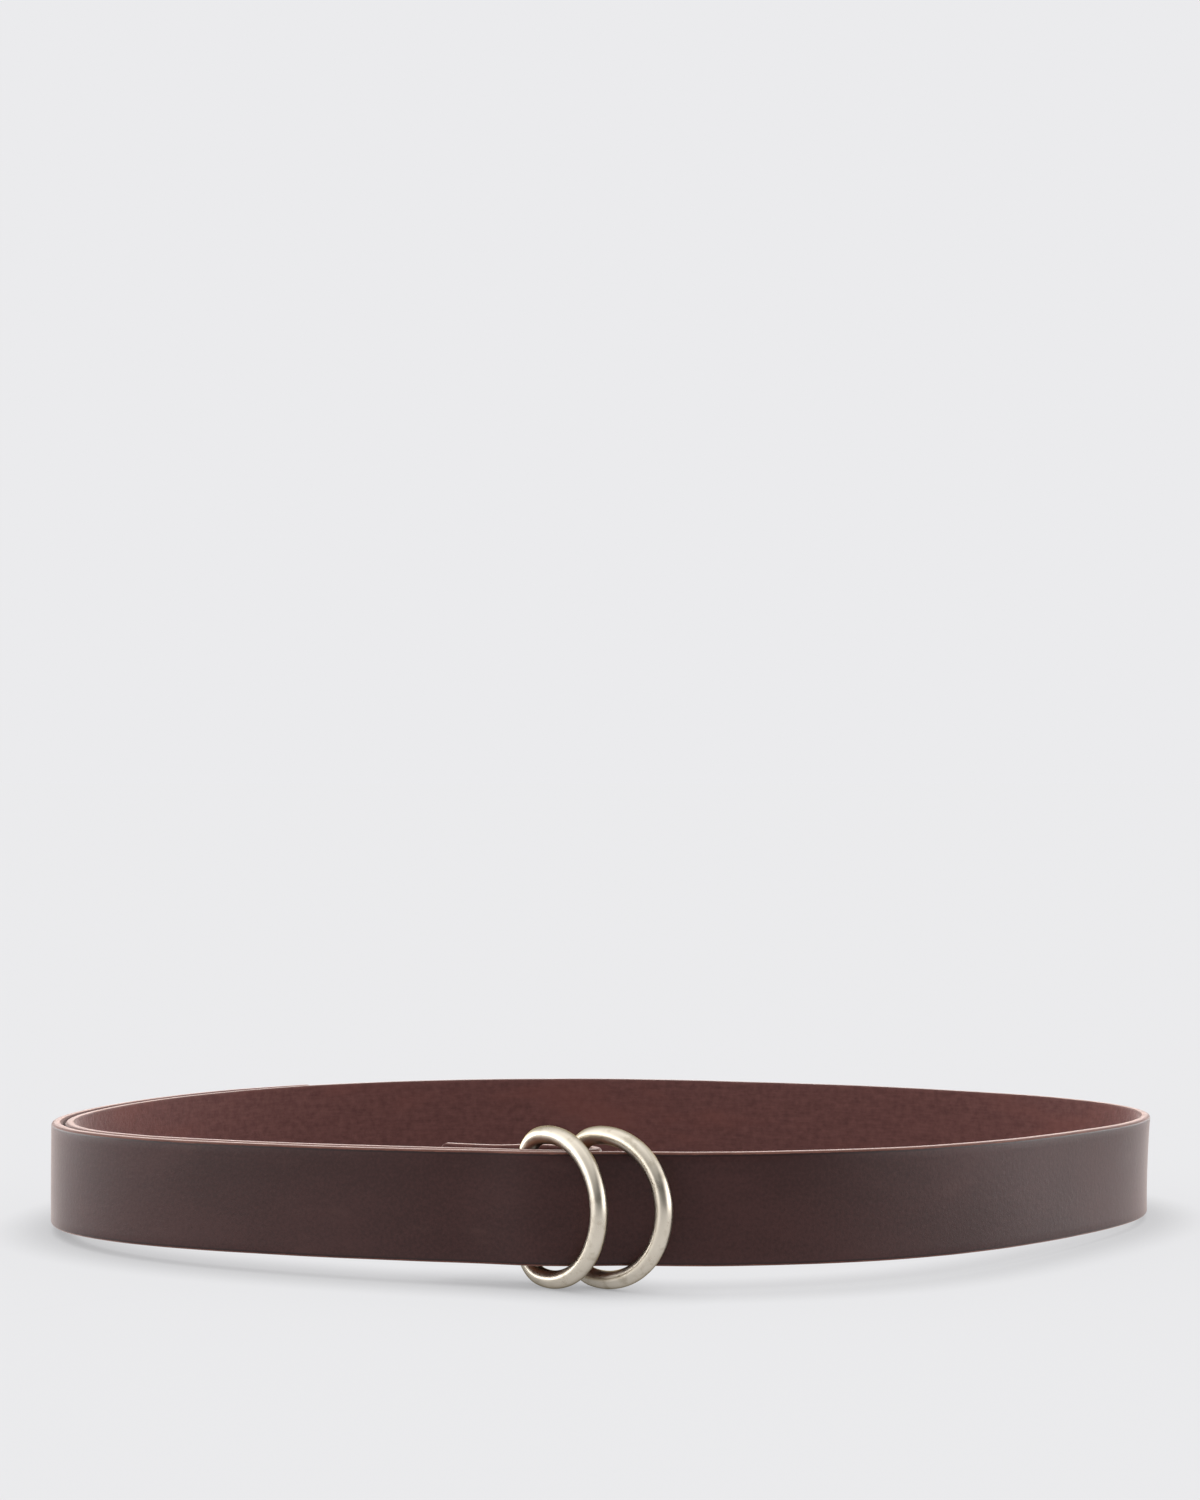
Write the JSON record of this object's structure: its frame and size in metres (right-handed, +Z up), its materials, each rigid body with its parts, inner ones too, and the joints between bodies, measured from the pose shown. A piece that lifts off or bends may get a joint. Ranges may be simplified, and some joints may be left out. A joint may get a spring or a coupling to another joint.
{
  "type": "ring belt",
  "caption": "Narrow bridle leather belt fastened through a pair of plain D rings, standing on edge as a closed waist loop.",
  "frame": {"origin": "middle of the belt's footprint, on the surface that it stands on", "axes": "+X to the right seen from the front, along the loop's greatest width; the front with its rings faces -Y; +Z up, along the strap's width"},
  "size_m": [0.3206, 0.2502, 0.041],
  "materials": {
    "strap_leather": "satin, waxed grain side and raw flesh side",
    "ring_metal": "satin nickel plating over brass",
    "rivet_metal": "satin nickel plating over brass"
  },
  "bodies": {
    "root": {"strap": "strap_leather", "ring_left": "ring_metal", "ring_right": "ring_metal", "flap_rivet": "rivet_metal"}
  },
  "joints": []
}
